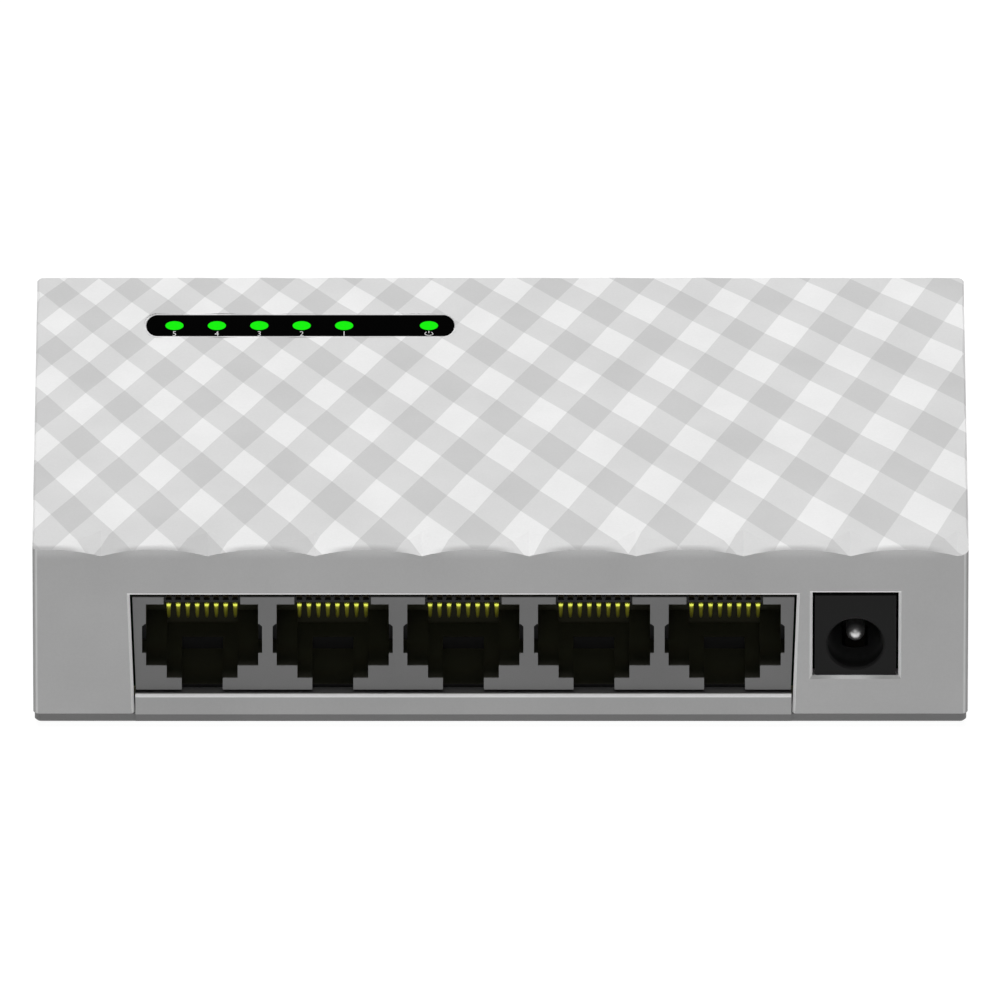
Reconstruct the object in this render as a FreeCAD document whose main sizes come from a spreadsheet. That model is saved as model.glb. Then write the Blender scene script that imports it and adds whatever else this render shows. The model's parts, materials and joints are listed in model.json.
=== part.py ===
"""Parametric model of a five-port desktop network switch, in millimetres.

Frame: +Z up, the port side faces -Y, the power socket is towards +X, and the origin is the middle
of the footprint at the plane that the four rubber feet stand on.
"""

import FreeCAD, Part
import math
import os

import Sketcher

# leftmost first, seen from the port side
PORTS = [5, 4, 3, 2, 1]
PINS = range(8)
LAMP_STEPS = {"port_5": 0, "port_4": 1, "port_3": 2, "port_2": 3, "port_1": 4, "power": 6}

# alias: (millimetres or degrees, what it is)
SIZES = {
    "case_width": (100, "outer width along X"),
    "case_depth": (60, "outer depth along Y"),
    "case_height": (22, "feet to the highest facet of the lid"),
    "wall": (1.8, "cover side walls"),
    "top_plate": (2.2, "cover top plate"),
    "seam_height": (1.65, "lower rim of the cover"),
    "seam_gap": (0.1, "shadow gap between cover and base"),
    "corner_radius": (0.7, "upright corners of the cover"),
    "top_chamfer": (0.3, "upper edges of the lid"),
    "lip_chamfer": (0.3, "edges of the cover's openings"),
    "underside": (0.5, "underside of the base above the table"),
    "base_inset": (0.15, "base rim set in from the cover"),
    "base_chamfer": (0.25, "lower edge of the base"),
    "cell_across_x": (4.72, "facet diamond at the lid's middle, side corner to side corner, X"),
    "cell_across_y": (0.579, "the same, Y"),
    "cell_along_x": (-0.81, "facet diamond at the lid's middle, rear corner to front corner, X"),
    "cell_along_y": (7.72, "the same, Y"),
    "cell_centre_y": (-1.13, "middle of the central diamond, Y"),
    "cell_taper_across": (-0.0047, "growth of 1 / diamond size per diamond towards +X"),
    "cell_taper_along": (0.0262, "growth of 1 / diamond size per diamond towards +Y"),
    "facet_rise": (0.1, "height of each of the two crossing folds"),
    "scallop_pitch": (11.44, "hollows along the lid's rear edge"),
    "scallop_shift": (-2.65, "middle of the row of scallops"),
    "scallop_sag": (0.78, "depth of each hollow"),
    "scallop_crest": (21.74, "height of the crests at the rear face"),
    "scallop_slope": (14, "rise of the scallops into the lid, degrees"),
    "bank_x": (-3.97, "middle of the row of sockets"),
    "port_pitch": (13.97, "socket to socket"),
    "opening_top": (16.08, "upper edge of the long opening"),
    "opening_half": (35.66, "half width of the opening at its top"),
    "opening_taper": (0.5, "how much narrower each side is at the seam"),
    "tongue_half": (35.1, "half width of the base's tongue"),
    "tongue_top": (4.0, "upper edge of the tongue"),
    "tongue_thick": (1.6, "tongue thickness"),
    "board_top": (3.9, "component side of the circuit board"),
    "board_thick": (1.2, "circuit board"),
    "board_half_x": (46.4, "half width of the board"),
    "board_rear": (-27.9, "rear edge of the board"),
    "board_front": (26.4, "front edge of the board"),
    "jack_half": (35.38, "half width of the ganged jack housing at its top"),
    "jack_low_half": (35.02, "half width of the jack housing at the board"),
    "jack_recess": (0.5, "jack face behind the cover's rear face"),
    "jack_depth": (15.5, "jack housing, front to back"),
    "jack_top": (15.62, "top of the jack housing"),
    "cavity_half": (6.0, "half width of a plug cavity"),
    "cavity_top": (14.76, "roof of the plug cavity"),
    "cavity_floor": (7.25, "floor the plug's body slides on"),
    "cavity_depth": (12.2, "plug cavity, from the face"),
    "bulge_half": (6.42, "half width across the side reliefs"),
    "bulge_slant": (0.3, "slanted upper corners of the side reliefs"),
    "bulge_top": (12.36, "top of the side reliefs"),
    "bulge_floor": (8.78, "bottom of the side reliefs"),
    "bulge_depth": (3.0, "side reliefs, from the face"),
    "key_half": (3.79, "half width of the latch's wide step"),
    "key_floor": (5.73, "floor of the wide step"),
    "latch_half": (2.19, "half width of the latch slot"),
    "latch_floor": (4.31, "floor of the latch slot"),
    "latch_depth": (9.0, "latch slot, from the face"),
    "pin_pitch": (1.016, "contact to contact"),
    "pin_width": (0.5, "contact strip width"),
    "pin_thick": (0.3, "contact strip thickness"),
    "pivot_y": (-29.15, "front bend of the contacts, along Y"),
    "pivot_z": (14.75, "front bend of the contacts, height"),
    "knee_y": (-27.3, "lowest bend of the contacts, along Y"),
    "knee_z": (12.1, "lowest bend of the contacts, height"),
    "tip_y": (-20.65, "free end of the contacts, along Y"),
    "tip_z": (11.95, "free end of the contacts, height"),
    "row_one": (-13.6, "first row of contact tails"),
    "row_two": (-11.2, "second row of contact tails"),
    "tail_end": (2.2, "lower end of the contact tails"),
    "carrier_half": (4.05, "half width of the contact carrier"),
    "carrier_under": (14.95, "underside of the contact carrier"),
    "carrier_set_back": (0.15, "carrier's front behind the jack's face"),
    "carrier_lip": (0.4, "front lip of the contact carrier"),
    "dc_x": (37.95, "power socket axis, X"),
    "dc_z": (10.05, "power socket axis, height"),
    "dc_window_half": (4.6, "half width of the power socket's window"),
    "dc_window_top": (16.36, "upper edge of that window"),
    "dc_window_floor": (6.2, "lower edge of that window"),
    "dc_body_half": (4.35, "half width of the power socket"),
    "dc_body_top": (15.95, "top of the power socket's flange"),
    "dc_recess": (0.3, "power socket face behind the cover's rear face"),
    "dc_hole_radius": (3.0, "hole for a 5.5 mm barrel plug"),
    "dc_hole_depth": (9.6, "that hole, from the socket's face"),
    "dc_pin_radius": (1.0, "centre pin for a 2.1 mm plug bore"),
    "dc_pin_set_back": (1.8, "pin tip behind the socket's face"),
    "lamp_y": (19.17, "row of indicator lamps, along Y"),
    "lamp_x": (-35.13, "leftmost lamp"),
    "lamp_pitch": (4.57, "lamp to lamp"),
    "window_left": (-38.13, "left end of the indicator window"),
    "window_right": (-5.0, "right end of the indicator window"),
    "window_half": (2.31, "half width of the window along Y"),
    "window_end": (1.2, "length of each rounded end"),
    "window_top": (21.9, "face of the indicator window"),
    "window_rim": (0.3, "flat rim of the lid round the window"),
    "window_thick": (1.1, "indicator window"),
    "pipe_radius": (0.98, "light pipe"),
    "post_radius": (2.7, "screw posts"),
    "screw_radius": (1.28, "case screw shank"),
    "head_radius": (2.6, "case screw head"),
    "foot_radius": (4.5, "rubber foot"),
    "foot_recess": (0.5, "depth of the pocket a foot sits in"),
}

# screw posts, then feet, as (x, y)
POSTS = [(-44.3, -21.0), (44.9, -9.0), (-44.0, 24.0), (44.0, 24.0)]
FEET = {"rear_left": (-36, -20), "rear_right": (36, -20), "front_left": (-34, 21), "front_right": (34, 21)}

doc = FreeCAD.newDocument("desktop_network_switch")
parts = []


class Size:
    """A length that carries its value and the spreadsheet expression that gives it."""

    def __init__(self, value, text):
        self.value = value
        self.text = text

    def __add__(self, other):
        return Size(self.value + number(other), f"({self.text} + {words(other)})")

    def __sub__(self, other):
        return Size(self.value - number(other), f"({self.text} - {words(other)})")

    def __mul__(self, other):
        return Size(self.value * number(other), f"({self.text} * {words(other)})")

    def __truediv__(self, other):
        return Size(self.value / number(other), f"({self.text} / {words(other)})")

    def __neg__(self):
        return Size(-self.value, f"(0 - {self.text})")

    __radd__ = __add__


def number(value):
    return value.value if isinstance(value, Size) else float(value)


def words(value):
    return value.text if isinstance(value, Size) else f"({float(value):.6f})"


def make_sheet():
    """Writes SIZES into the document's spreadsheet and returns each alias as a Size."""
    sheet = doc.addObject("Spreadsheet::Sheet", "Sizes")
    for row, (alias, (value, note)) in enumerate(SIZES.items(), 1):
        sheet.set(f"A{row}", note)
        sheet.set(f"B{row}", str(value))
        sheet.setAlias(f"B{row}", alias)
    doc.recompute()
    return {alias: Size(float(value), f"Sizes.{alias}") for alias, (value, _) in SIZES.items()}


S = make_sheet()
HALF_W = S["case_width"] / 2
HALF_D = S["case_depth"] / 2
REAR = -HALF_D
PLATE_UNDER = S["case_height"] - S["top_plate"]
BOARD_UNDER = S["board_top"] - S["board_thick"]
BASE_TOP = S["seam_height"] - S["seam_gap"]
JACK_FACE = REAR + S["jack_recess"]
DC_FACE = REAR + S["dc_recess"]
LEAD_TOP = S["jack_top"] - 0.1


def bind(obj, prop, value):
    """Ties a property to a spreadsheet expression."""
    obj.setExpression(prop, words(value))


def keep(obj, label):
    """Names a finished sub-part and puts it on the list to be written."""
    obj.Label = label
    parts.append(obj)
    return obj


# ---------------------------------------------------------------- PartDesign helpers

def new_body(name):
    body = doc.addObject("PartDesign::Body", name)
    body.AllowCompound = True
    return body


def sketch_on(body, role, offset):
    """A sketch on one of the body's origin planes, moved along the plane's normal.

    XY_Plane looks along +Z; XZ_Plane's normal is -Y; YZ_Plane's normal is +X.
    """
    sketch = body.newObject("Sketcher::SketchObject", "outline")
    plane = next(item for item in body.Origin.OriginFeatures if item.Role == role)
    sketch.AttachmentSupport = [(plane, "")]
    sketch.MapMode = "FlatFace"
    bind(sketch, "AttachmentOffset.Base.z", offset)
    return sketch


def place(sketch, geometry, point, across, up):
    """Fixes one point of a sketch's geometry at bound distances from the sketch's origin."""
    for kind, value in (("DistanceX", across), ("DistanceY", up)):
        index = sketch.addConstraint(Sketcher.Constraint(kind, -1, 1, geometry, point, number(value)))
        name = f"{kind}{index}"
        sketch.renameConstraint(index, name)
        bind(sketch, f"Constraints.{name}", value)


def polygon(sketch, corners):
    """A closed outline whose every corner is bound."""
    first = sketch.GeometryCount
    ends = [FreeCAD.Vector(number(a), number(b), 0) for a, b in corners]
    for here, there in zip(ends, ends[1:] + ends[:1]):
        sketch.addGeometry(Part.LineSegment(here, there))
    for step in range(len(corners)):
        after = first + (step + 1) % len(corners)
        sketch.addConstraint(Sketcher.Constraint("Coincident", first + step, 2, after, 1))
    for step, (across, up) in enumerate(corners):
        place(sketch, first + step, 1, across, up)


def rectangle(sketch, left, right, low, high):
    polygon(sketch, [(left, low), (right, low), (right, high), (left, high)])


def circle(sketch, across, up, radius):
    centre = FreeCAD.Vector(number(across), number(up), 0)
    index = sketch.addGeometry(Part.Circle(centre, FreeCAD.Vector(0, 0, 1), number(radius)))
    place(sketch, index, 3, across, up)
    row = sketch.addConstraint(Sketcher.Constraint("Radius", index, number(radius)))
    sketch.renameConstraint(row, f"Radius{row}")
    bind(sketch, f"Constraints.Radius{row}", radius)


def extrude(body, kind, sketch, length, backwards=False, both_ways=False):
    """Pads or pockets a sketch and checks that the body's volume changed the right way."""
    before = body.Shape.Volume if body.Tip else 0.0
    feature = body.newObject(f"PartDesign::{kind}", kind)
    feature.Profile = sketch
    bind(feature, "Length", length)
    feature.Reversed = backwards
    if both_ways:
        feature.SideType = "Symmetric"
    doc.recompute()
    grew = body.Shape.Volume - before
    if (kind == "Pad") != (grew > 0) or abs(grew) < 1e-6:
        raise ValueError(f"{body.Name}: {kind} changed the volume by {grew:.4f}")
    return feature


def pad(body, sketch, length, **how):
    return extrude(body, "Pad", sketch, length, **how)


def pocket(body, sketch, length, **how):
    return extrude(body, "Pocket", sketch, length, **how)


def dress(body, kind, wanted, size):
    """A fillet or chamfer on the edges of the body's tip for which wanted(edge) is true."""
    tip = body.Tip
    names = [f"Edge{i}" for i, edge in enumerate(tip.Shape.Edges, 1) if wanted(edge)]
    feature = body.newObject(f"PartDesign::{kind}", kind)
    feature.Base = (tip, names)
    bind(feature, "Radius" if kind == "Fillet" else "Size", size)
    doc.recompute()
    return feature


def row_of(body, features, count, spacing):
    """Repeats features along +X at a bound spacing."""
    doc.recompute()
    axis = next(item for item in body.Origin.OriginFeatures if item.Role == "X_Axis")
    pattern = body.newObject("PartDesign::LinearPattern", "row")
    pattern.Originals = features
    pattern.Direction = (axis, [""])
    pattern.Occurrences = count
    bind(pattern, "Length", spacing * (count - 1))
    body.Tip = pattern
    doc.recompute()
    return pattern


# ---------------------------------------------------------------- Part helpers

def block(left, right, rear, front, low, high):
    """A Part::Box between bound planes."""
    box = doc.addObject("Part::Box", "block")
    for prop, a, b in (("Length", left, right), ("Width", rear, front), ("Height", low, high)):
        bind(box, prop, Size(number(b) - number(a), f"({words(b)} - {words(a)})"))
    for axis, value in (("x", left), ("y", rear), ("z", low)):
        bind(box, f"Placement.Base.{axis}", value)
    return box


def rod(x, y, z, radius, length, along="z"):
    """A Part::Cylinder that starts at a bound point and runs along +X, +Y or +Z."""
    cylinder = doc.addObject("Part::Cylinder", "rod")
    turn = {"x": ((0, 1, 0), 90), "y": ((1, 0, 0), -90), "z": ((0, 0, 1), 0)}[along]
    cylinder.Placement.Rotation = FreeCAD.Rotation(FreeCAD.Vector(*turn[0]), turn[1])
    bind(cylinder, "Radius", radius)
    bind(cylinder, "Height", length)
    for axis, value in (("x", x), ("y", y), ("z", z)):
        bind(cylinder, f"Placement.Base.{axis}", value)
    return cylinder


def fuse(shapes):
    joined = doc.addObject("Part::MultiFuse", "joined")
    joined.Shapes = shapes
    return joined


def cut(base, tool):
    less = doc.addObject("Part::Cut", "less")
    less.Base = base
    less.Tool = tool
    return less


def group(shapes):
    """Separate solids that share one node."""
    bundle = doc.addObject("Part::Compound", "bundle")
    bundle.Links = shapes
    return bundle


def pill(low, thickness, margin):
    """The indicator window's outline as a solid: a bar with two half-ellipse ends."""
    reach = S["window_end"]
    left, right = S["window_left"] + reach, S["window_right"] - reach
    half = S["window_half"] + margin
    bar = block(left, right, S["lamp_y"] - half, S["lamp_y"] + half, low, low + thickness)
    ends = []
    for middle in (left, right):
        ellipse = doc.addObject("Part::Ellipse", "end")
        bind(ellipse, "MajorRadius", half)
        bind(ellipse, "MinorRadius", reach + margin)
        ellipse.Placement.Rotation = FreeCAD.Rotation(FreeCAD.Vector(0, 0, 1), 90)
        for axis, value in (("x", middle), ("y", S["lamp_y"]), ("z", low)):
            bind(ellipse, f"Placement.Base.{axis}", value)
        end = doc.addObject("Part::Extrusion", "end_block")
        end.Base = ellipse
        end.DirMode = "Custom"
        end.Dir = FreeCAD.Vector(0, 0, 1)
        end.Solid = True
        bind(end, "LengthFwd", thickness)
        ends.append(end)
    return fuse([bar, *ends])


# ---------------------------------------------------------------- the lid's folded top

def fold_cutter():
    """Everything above the lid's facets: two crossing sets of shallow folds make flat diamonds.

    Dividing position and depth by one linear size keeps every facet flat while the diamonds taper.
    """
    across = FreeCAD.Vector(number(S["cell_across_x"]), number(S["cell_across_y"]), 0)
    along = FreeCAD.Vector(number(S["cell_along_x"]), number(S["cell_along_y"]), 0)
    centre = FreeCAD.Vector(0, number(S["cell_centre_y"]), 0)
    taper_across, taper_along = number(S["cell_taper_across"]), number(S["cell_taper_along"])
    rise, crest = number(S["facet_rise"]), number(S["case_height"])
    lid = crest + 1
    margin = 2 * along.Length
    limit_x, limit_y = number(HALF_W) + margin, number(HALF_D) + margin

    def corner(i, j):
        step_across, step_along = (i + j - 1) / 2, (j - i) / 2
        size = 1 + taper_across * step_across + taper_along * step_along
        flat = centre + (across * step_across + along * step_along) / size
        drop = rise * (i % 2 + j % 2) / size
        return FreeCAD.Vector(flat.x, flat.y, crest - drop)

    reach = 30
    cells = []
    for i in range(-reach, reach):
        for j in range(-reach, reach):
            middle = (corner(i, j) + corner(i + 1, j + 1)) / 2
            if abs(middle.x) < limit_x and abs(middle.y) < limit_y:
                cells.append((i, j))
    kept = set(cells)
    faces = []
    rim = {}
    for i, j in cells:
        ring = [(i, j), (i + 1, j), (i + 1, j + 1), (i, j + 1)]
        faces.append(Part.Face(Part.makePolygon([corner(*p) for p in [*ring, ring[0]]])))
        beside = [(i, j - 1), (i + 1, j), (i, j + 1), (i - 1, j)]
        for start, end, neighbour in zip(ring, ring[1:] + ring[:1], beside):
            if neighbour not in kept:
                rim[start] = end
    start = next(iter(rim))
    loop = [start]
    while rim[loop[-1]] != start:
        loop.append(rim[loop[-1]])
    raised = [FreeCAD.Vector(corner(*p).x, corner(*p).y, lid) for p in loop]
    for here, there, up_here, up_there in zip(loop, loop[1:] + loop[:1], raised, raised[1:] + raised[:1]):
        side = [corner(*here), corner(*there), up_there, up_here, corner(*here)]
        faces.append(Part.Face(Part.makePolygon(side)))
    faces.append(Part.Face(Part.makePolygon([*raised, raised[0]])))
    solid = Part.makeSolid(Part.makeShell(faces))
    if solid.Volume < 0:
        solid.reverse()
    cutter = doc.addObject("Part::Feature", "fold_cutter")
    cutter.Shape = solid
    return cutter


def scallop_cutter():
    """A strip along the lid's rear edge, hollowed by cylinders that rise gently into the lid."""
    pitch, sag = number(S["scallop_pitch"]), number(S["scallop_sag"])
    radius = (pitch * pitch / 4 + sag * sag) / (2 * sag)
    slope = number(S["scallop_slope"])
    strip, above = 5.0, 1.0
    rear, half = number(REAR), number(HALF_W)
    low = number(S["scallop_crest"]) - sag - 0.5
    start = FreeCAD.Vector(-half - 1, rear - 1, low)
    shape = Part.makeBox(2 * half + 2, strip + 1, number(S["case_height"]) + above - low, start)
    direction = FreeCAD.Rotation(FreeCAD.Vector(1, 0, 0), slope).multVec(FreeCAD.Vector(0, 1, 0))
    lead = 3.0
    humps = []
    for step in range(-5, 6):
        middle = number(S["scallop_shift"]) + step * pitch
        crest = FreeCAD.Vector(middle, rear, number(S["scallop_crest"]))
        base = crest - direction * lead - FreeCAD.Vector(0, 0, radius / math.cos(math.radians(slope)))
        humps.append(Part.makeCylinder(radius, strip + 2 * lead + 20, base, direction))
    for hump in humps:
        shape = shape.cut(hump)
    cutter = doc.addObject("Part::Feature", "scallop_cutter")
    cutter.Shape = shape
    return cutter


# ---------------------------------------------------------------- case

def is_upright(edge):
    a, b = edge.Vertexes[0].Point, edge.Vertexes[-1].Point
    return abs(a.x - b.x) < 1e-6 and abs(a.y - b.y) < 1e-6 and abs(a.z - b.z) > 1e-3


def lies_on(edge, axis, value):
    return all(abs(getattr(v.Point, axis) - number(value)) < 1e-6 for v in edge.Vertexes)


def top_cover():
    body = new_body("cover")
    seam = S["seam_height"]
    outline = sketch_on(body, "XY_Plane", seam)
    rectangle(outline, -HALF_W, HALF_W, -HALF_D, HALF_D)
    pad(body, outline, S["case_height"] - seam)
    dress(body, "Fillet", is_upright, S["corner_radius"])

    def lid_edge(edge):
        return lies_on(edge, "z", S["case_height"]) and not lies_on(edge, "y", REAR)

    dress(body, "Chamfer", lid_edge, S["top_chamfer"])

    inside = sketch_on(body, "XY_Plane", seam)
    rectangle(inside, S["wall"] - HALF_W, HALF_W - S["wall"], S["wall"] - HALF_D, HALF_D - S["wall"])
    pocket(body, inside, PLATE_UNDER - seam, backwards=True)

    posts = sketch_on(body, "XY_Plane", S["board_top"])
    for x, y in POSTS:
        circle(posts, x, y, S["post_radius"])
    pad(body, posts, PLATE_UNDER - S["board_top"] + 0.2)
    webs = sketch_on(body, "XY_Plane", S["board_top"] + 4)
    for x, y in POSTS:
        side = HALF_W - S["wall"] / 2
        ends = (x, side) if x > 0 else (-side, x)
        rectangle(webs, *ends, y - 0.6, y + 0.6)
    pad(body, webs, PLATE_UNDER - S["board_top"] - 3.8)
    pilots = sketch_on(body, "XY_Plane", S["board_top"])
    for x, y in POSTS:
        circle(pilots, x, y, S["screw_radius"] + 0.02)
    pocket(body, pilots, 9, backwards=True)

    opening = sketch_on(body, "XZ_Plane", -REAR)
    top_half, low_half = S["opening_half"], S["opening_half"] - S["opening_taper"]
    middle = S["bank_x"]
    corners = [(middle - low_half, seam - 1), (middle + low_half, seam - 1)]
    corners += [(middle + top_half, S["opening_top"]), (middle - top_half, S["opening_top"])]
    polygon(opening, corners)
    pocket(body, opening, S["wall"])
    window = sketch_on(body, "XZ_Plane", -REAR)
    half = S["dc_window_half"]
    rectangle(window, S["dc_x"] - half, S["dc_x"] + half, S["dc_window_floor"], S["dc_window_top"])
    pocket(body, window, S["wall"])

    def opening_edge(edge):
        if not lies_on(edge, "y", REAR):
            return False
        xs = [v.Point.x for v in edge.Vertexes]
        zs = [v.Point.z for v in edge.Vertexes]
        inner = max(abs(x) for x in xs) < number(HALF_W) - 4
        return inner and max(zs) < number(S["dc_window_top"]) + 0.01 and max(zs) - number(seam) > 0.01

    dress(body, "Chamfer", opening_edge, S["lip_chamfer"])

    vents = sketch_on(body, "YZ_Plane", 0)
    for step in range(-5, 6):
        y = step * 3.2 + 4
        rectangle(vents, y - 0.6, y + 0.6, 7.5, 15.5)
    pocket(body, vents, S["case_width"] + 2, both_ways=True)

    holes = sketch_on(body, "XY_Plane", PLATE_UNDER)
    for step in LAMP_STEPS.values():
        circle(holes, S["lamp_x"] + S["lamp_pitch"] * step, S["lamp_y"], S["pipe_radius"] + 0.15)
    pocket(body, holes, S["top_plate"], backwards=True)

    rim = S["window_rim"]
    folds = cut(fold_cutter(), pill(S["window_top"] - 1, 3, rim))
    recess = pill(S["window_top"] - S["window_thick"], S["window_thick"] + 1, 0.06)
    tools = fuse([folds, pill(S["window_top"], 2, rim), recess, scallop_cutter()])
    keep(cut(body, tools), "top_cover")


def base_shell():
    body = new_body("base")
    under = S["underside"]
    half_x, half_y = HALF_W - S["base_inset"], HALF_D - S["base_inset"]
    floor = sketch_on(body, "XY_Plane", under)
    rectangle(floor, -half_x, half_x, -half_y, half_y)
    pad(body, floor, BASE_TOP - under)
    dress(body, "Fillet", is_upright, S["corner_radius"])
    dress(body, "Chamfer", lambda edge: lies_on(edge, "z", under), S["base_chamfer"])

    tongue = sketch_on(body, "XY_Plane", under + S["base_chamfer"])
    left, right = S["bank_x"] - S["tongue_half"], S["bank_x"] + S["tongue_half"]
    rectangle(tongue, left, right, REAR, REAR + S["tongue_thick"])
    pad(body, tongue, S["tongue_top"] - under - S["base_chamfer"])
    tongue_lip = lambda edge: lies_on(edge, "z", S["tongue_top"]) and lies_on(edge, "y", REAR)
    dress(body, "Fillet", tongue_lip, S["lip_chamfer"])

    lip = sketch_on(body, "XY_Plane", BASE_TOP)
    outer_x, outer_y = HALF_W - S["wall"] - 0.15, HALF_D - S["wall"] - 0.15
    inner_x, inner_y = outer_x - 1.2, outer_y - 1.2
    end = -outer_y + 2
    corners = [(-outer_x, end), (-inner_x, end), (-inner_x, inner_y), (inner_x, inner_y)]
    corners += [(inner_x, end), (outer_x, end), (outer_x, outer_y), (-outer_x, outer_y)]
    polygon(lip, corners)
    pad(body, lip, 3.2)

    notches = sketch_on(body, "XY_Plane", BASE_TOP)
    for x, y in POSTS[:2]:
        ends = (outer_x + 0.5, inner_x - 0.5) if x > 0 else (-inner_x + 0.5, -outer_x - 0.5)
        rectangle(notches, ends[1], ends[0], y - 3.2, y + 3.2)
    pocket(body, notches, 4, backwards=True)

    bosses = sketch_on(body, "XY_Plane", BASE_TOP)
    for x, y in POSTS:
        circle(bosses, x * 0.99, y, 3.3)
    pad(body, bosses, BOARD_UNDER - BASE_TOP)
    ribs = sketch_on(body, "XY_Plane", BASE_TOP)
    for y in (-22.0, 8.0):
        rectangle(ribs, -36, 28, y - 0.6, y + 0.6)
    pad(body, ribs, BOARD_UNDER - BASE_TOP)

    clearance = sketch_on(body, "XY_Plane", under)
    for x, y in POSTS:
        circle(clearance, x, y, S["screw_radius"] + 0.3)
    pocket(body, clearance, 3, backwards=True)
    counterbore = sketch_on(body, "XY_Plane", under)
    for x, y in POSTS:
        circle(counterbore, x, y, S["head_radius"] + 0.2)
    pocket(body, counterbore, 1.15, backwards=True)
    pockets = sketch_on(body, "XY_Plane", under)
    for x, y in FEET.values():
        circle(pockets, x, y, S["foot_radius"] + 0.1)
    pocket(body, pockets, S["foot_recess"], backwards=True)
    label = sketch_on(body, "XY_Plane", under)
    rectangle(label, -22, 22, -24, -8)
    pocket(body, label, 0.25, backwards=True)
    vents = sketch_on(body, "XY_Plane", under)
    for step in range(-6, 7):
        x = step * 3.4
        rectangle(vents, x - 0.7, x + 0.7, -3, 6)
        rectangle(vents, x - 0.7, x + 0.7, 10, 19)
    pocket(body, vents, 2, backwards=True)
    keep(body, "base_shell")


def rubber_feet():
    for corner, (x, y) in FEET.items():
        body = new_body(f"foot_{corner}")
        disc = sketch_on(body, "XY_Plane", 0)
        circle(disc, 0, 0, S["foot_radius"])
        pad(body, disc, S["underside"] + S["foot_recess"])
        dress(body, "Chamfer", lambda edge: lies_on(edge, "z", 0), 0.3)
        body.Placement.Base = FreeCAD.Vector(x, y, 0)
        keep(body, f"foot_{corner}")


def case_screws():
    """Four pan-head self-tapping screws, driven from below into the cover's posts."""
    screws = []
    for x, y in POSTS:
        low = S["underside"] + 0.1
        head = rod(x, y, low, S["head_radius"], 1.0)
        shank = rod(x, y, low + 1.0, S["screw_radius"], 9.0)
        slots = [block(x - a, x + a, y - b, y + b, low - 0.1, low + 0.6) for a, b in ((1.5, 0.25), (0.25, 1.5))]
        screws.append(cut(fuse([head, shank]), fuse(slots)))
    keep(group(screws), "case_screws")


def rating_label():
    label = block(-21.8, 21.8, -23.8, -8.2, S["underside"] + 0.1, S["underside"] + 0.22)
    keep(label, "rating_label")


# ---------------------------------------------------------------- indicators

def indicator_window():
    low = S["window_top"] - S["window_thick"]
    plate = pill(low, S["window_thick"], 0)
    holes = []
    for step in LAMP_STEPS.values():
        x = S["lamp_x"] + S["lamp_pitch"] * step
        holes.append(rod(x, S["lamp_y"], low - 1, S["pipe_radius"] + 0.04, S["window_thick"] + 2))
    keep(cut(plate, fuse(holes)), "indicator_window")


def light_pipes():
    """Clear rods that carry each lamp's light from the board up to the window."""
    for name, step in LAMP_STEPS.items():
        body = new_body(f"light_pipe_{name}")
        low, high = S["board_top"] + 1.1, S["window_top"]
        flange_low, flange_high = PLATE_UNDER - 1.0, PLATE_UNDER
        inner, outer = S["pipe_radius"], S["pipe_radius"] + 0.6
        profile = sketch_on(body, "XZ_Plane", 0)
        corners = [(0, low), (inner, low), (inner, flange_low), (outer, flange_low)]
        corners += [(outer, flange_high), (inner, flange_high), (inner, high), (0, high)]
        polygon(profile, corners)
        turn = body.newObject("PartDesign::Revolution", "turned")
        turn.Profile = profile
        turn.ReferenceAxis = (profile, ["V_Axis"])
        turn.Angle = 360
        bind(body, "Placement.Base.x", S["lamp_x"] + S["lamp_pitch"] * step)
        bind(body, "Placement.Base.y", S["lamp_y"])
        keep(body, f"light_pipe_{name}")


def lamps():
    """A surface-mount lamp under each light pipe: a body with two solder caps."""
    for name, step in LAMP_STEPS.items():
        x, y, z = S["lamp_x"] + S["lamp_pitch"] * step, S["lamp_y"], S["board_top"]
        body = block(x - 0.6, x + 0.6, y - 0.6, y + 0.6, z, z + 0.7)
        caps = [block(x + a, x + b, y - 0.6, y + 0.6, z, z + 0.35) for a, b in ((-1.0, -0.6), (0.6, 1.0))]
        keep(group([body, *caps]), f"lamp_{name}")


# ---------------------------------------------------------------- Ethernet sockets

def port_x(port):
    return S["bank_x"] + S["port_pitch"] * (3 - port)


def pin_x(index):
    """A contact's place across its port."""
    return S["pin_pitch"] * (index - 3.5)


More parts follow.
